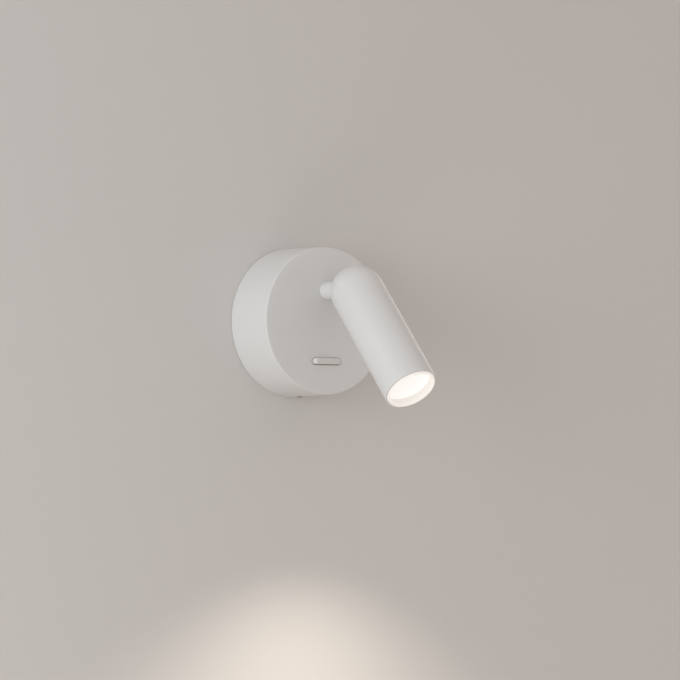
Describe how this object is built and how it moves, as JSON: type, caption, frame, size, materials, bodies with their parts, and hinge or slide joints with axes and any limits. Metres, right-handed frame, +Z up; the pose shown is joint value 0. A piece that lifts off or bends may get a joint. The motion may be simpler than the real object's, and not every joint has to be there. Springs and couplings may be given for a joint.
{
  "type": "wall spotlight",
  "caption": "Wall reading spotlight: round base with rocker switch, swivelling stem and tilting cylindrical LED head.",
  "frame": {"origin": "centre of the wall bracket's back face, in the plane of the wall", "axes": "X right along the wall, +Y into the wall, +Z up; the light reaches into the room towards -Y"},
  "size_m": [0.0874, 0.1227, 0.0944],
  "materials": {
    "white_powder_coat": "satin powder coat",
    "white_rocker_plastic": "satin",
    "black_oxide_steel": "black oxide",
    "zinc_plated_steel": "bright zinc",
    "spring_steel": "polished",
    "black_rubber": "matte",
    "cream_terminal_plastic": "matte",
    "brass": "bright",
    "driver_white_plastic": "matte",
    "board_green": "solder mask",
    "transformer_tape": "tape",
    "capacitor_sleeve": "gloss",
    "black_switch_plastic": "matte",
    "natural_acetal": "matte",
    "cast_aluminium": "as cast",
    "machined_aluminium": "machined",
    "thermal_pad_grey": "matte",
    "white_led_board": "white solder mask",
    "led_phosphor": "satin",
    "reflector_silver": "mirror",
    "opal_diffuser": "frosted, lit",
    "opal_ring_plastic": "satin, light shines through a little",
    "brown_wire": "pvc",
    "blue_wire": "pvc",
    "green_yellow_wire": "pvc",
    "red_wire": "pvc",
    "black_wire": "pvc"
  },
  "bodies": {
    "base": {"wall_bracket": "zinc_plated_steel", "cable_grommet": "black_rubber", "base_housing": "white_powder_coat", "housing_lock_screws": "black_oxide_steel", "terminal_block": "cream_terminal_plastic", "terminal_sleeves": "brass", "terminal_clamp_screws": "zinc_plated_steel", "terminal_block_screws": "zinc_plated_steel", "earth_screw": "zinc_plated_steel", "earth_tag": "brass", "driver_case": "driver_white_plastic", "driver_lid": "driver_white_plastic", "driver_board": "board_green", "driver_transformer": "transformer_tape", "driver_capacitors": "capacitor_sleeve", "driver_screws": "zinc_plated_steel", "switch_housing": "black_switch_plastic", "switch_screws": "zinc_plated_steel", "switch_terminals": "brass", "rocker_pin": "spring_steel", "stem_bush": "natural_acetal", "stop_pin": "zinc_plated_steel", "live_lead": "brown_wire", "neutral_lead": "blue_wire", "switched_lead": "brown_wire", "earth_lead": "green_yellow_wire", "led_lead_positive_base": "red_wire", "led_lead_negative_base": "black_wire"},
    "stem": {"stem": "white_powder_coat", "stop_washer": "zinc_plated_steel", "disc_spring": "spring_steel", "swivel_nut": "zinc_plated_steel", "pivot_screws": "zinc_plated_steel", "friction_washers": "zinc_plated_steel", "led_lead_positive_stem": "red_wire", "led_lead_negative_stem": "black_wire"},
    "head": {"head_shell": "white_powder_coat", "pivot_yoke": "cast_aluminium", "yoke_screws": "zinc_plated_steel", "heat_sink": "machined_aluminium", "thermal_pad": "thermal_pad_grey", "led_board": "white_led_board", "led_board_screws": "zinc_plated_steel", "led_emitter": "led_phosphor", "reflector": "reflector_silver", "diffuser": "opal_diffuser", "front_ring": "opal_ring_plastic", "led_lead_positive_head": "red_wire", "led_lead_negative_head": "black_wire"},
    "rocker": {"switch_rocker": "white_rocker_plastic", "rocker_plunger": "natural_acetal", "rocker_spring": "spring_steel"},
    "blade": {"contact_blade": "brass"}
  },
  "joints": [
    {"name": "stem_swivel", "type": "hinge", "parent": "base", "child": "stem", "pos_m": [0, -0.0335, 0.0172], "axis": [0, 1, 0], "range_deg": [-170, 170]},
    {"name": "head_tilt", "type": "hinge", "parent": "stem", "child": "head", "pos_m": [0, -0.061, 0.0172], "axis": [1, 0, 0], "range_deg": [-49, 41]},
    {"name": "switch_rocker", "type": "hinge", "parent": "base", "child": "rocker", "pos_m": [0, -0.03, -0.0234], "axis": [0, 0, -1], "range_deg": [0, 16]},
    {"name": "contact_blade", "type": "hinge", "parent": "base", "child": "blade", "pos_m": [0, -0.02047, -0.0234], "axis": [0, 0, -1], "range_deg": [-8, 0]}
  ],
  "couplings": [
    {"joint": "contact_blade", "follows": "switch_rocker", "ratio": -0.5}
  ]
}
